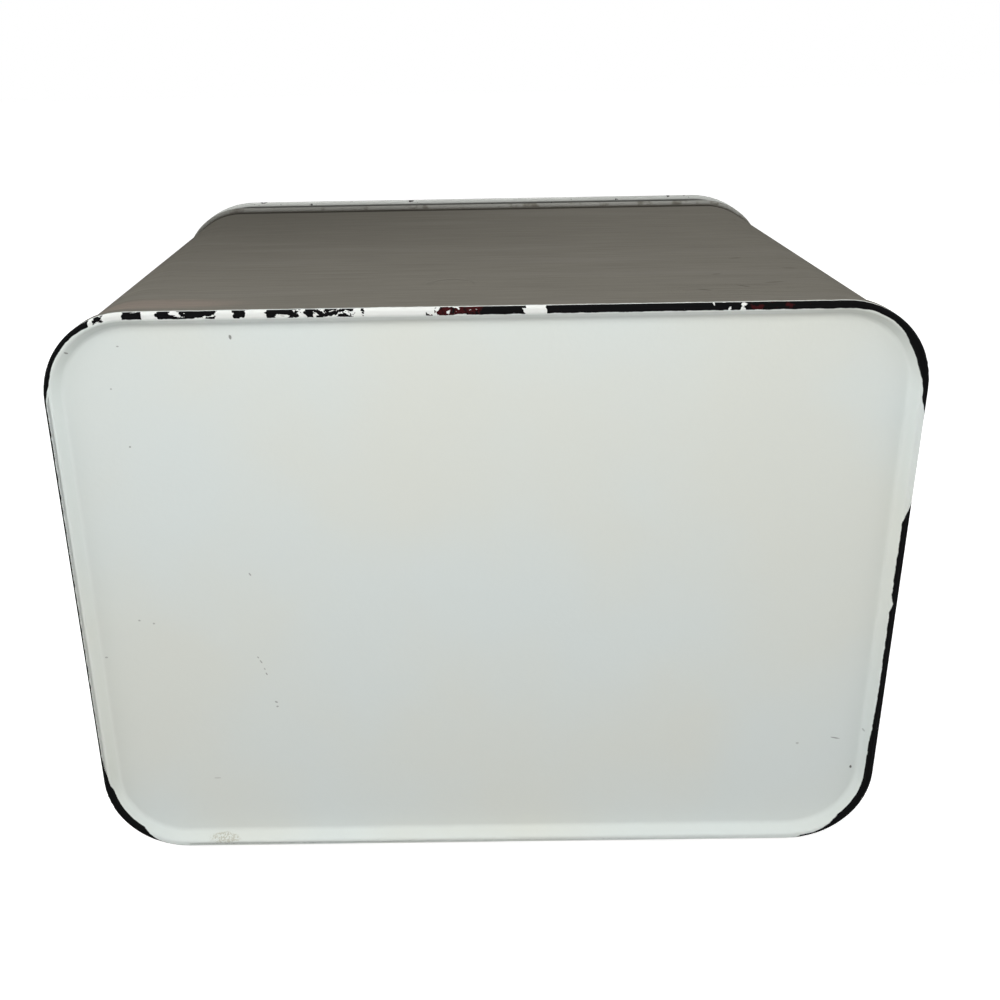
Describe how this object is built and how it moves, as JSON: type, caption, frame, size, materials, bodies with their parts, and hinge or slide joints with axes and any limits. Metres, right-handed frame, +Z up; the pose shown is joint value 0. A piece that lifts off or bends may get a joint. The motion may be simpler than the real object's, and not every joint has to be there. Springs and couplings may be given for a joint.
{
  "type": "bread bin",
  "caption": "Enamelled steel bread bin with rounded corners, a recessed base with a dark rim, strap handles and a lift-off lid.",
  "frame": {"origin": "centre of the plane the bin stands on, below its base rim", "axes": "+Z up through the mouth, X along the bin's length, +Y from front to back"},
  "size_m": [0.381, 0.248, 0.2931],
  "materials": {
    "wall_paint": "brushed-on satin paint over enamel",
    "white_enamel": "gloss enamel",
    "lid_enamel": "gloss enamel",
    "black_enamel": "gloss enamel",
    "steel_wire": "drawn",
    "rivet_steel": "enamelled over"
  },
  "bodies": {
    "bin": {"body_wall": "wall_paint", "base_pan": "white_enamel", "mouth_wire": "steel_wire", "left_handle": "black_enamel", "right_handle": "black_enamel", "left_handle_rivets": "rivet_steel", "right_handle_rivets": "rivet_steel"},
    "lid": {"lid_shell": "lid_enamel", "lid_wire": "steel_wire", "lid_collar": "lid_enamel", "lid_handle": "black_enamel", "lid_handle_rivets": "rivet_steel"}
  },
  "joints": [
    {"name": "lid_lift", "type": "slide", "parent": "bin", "child": "lid", "axis": [0, 0, 1], "range_m": [0, 0.16]}
  ]
}
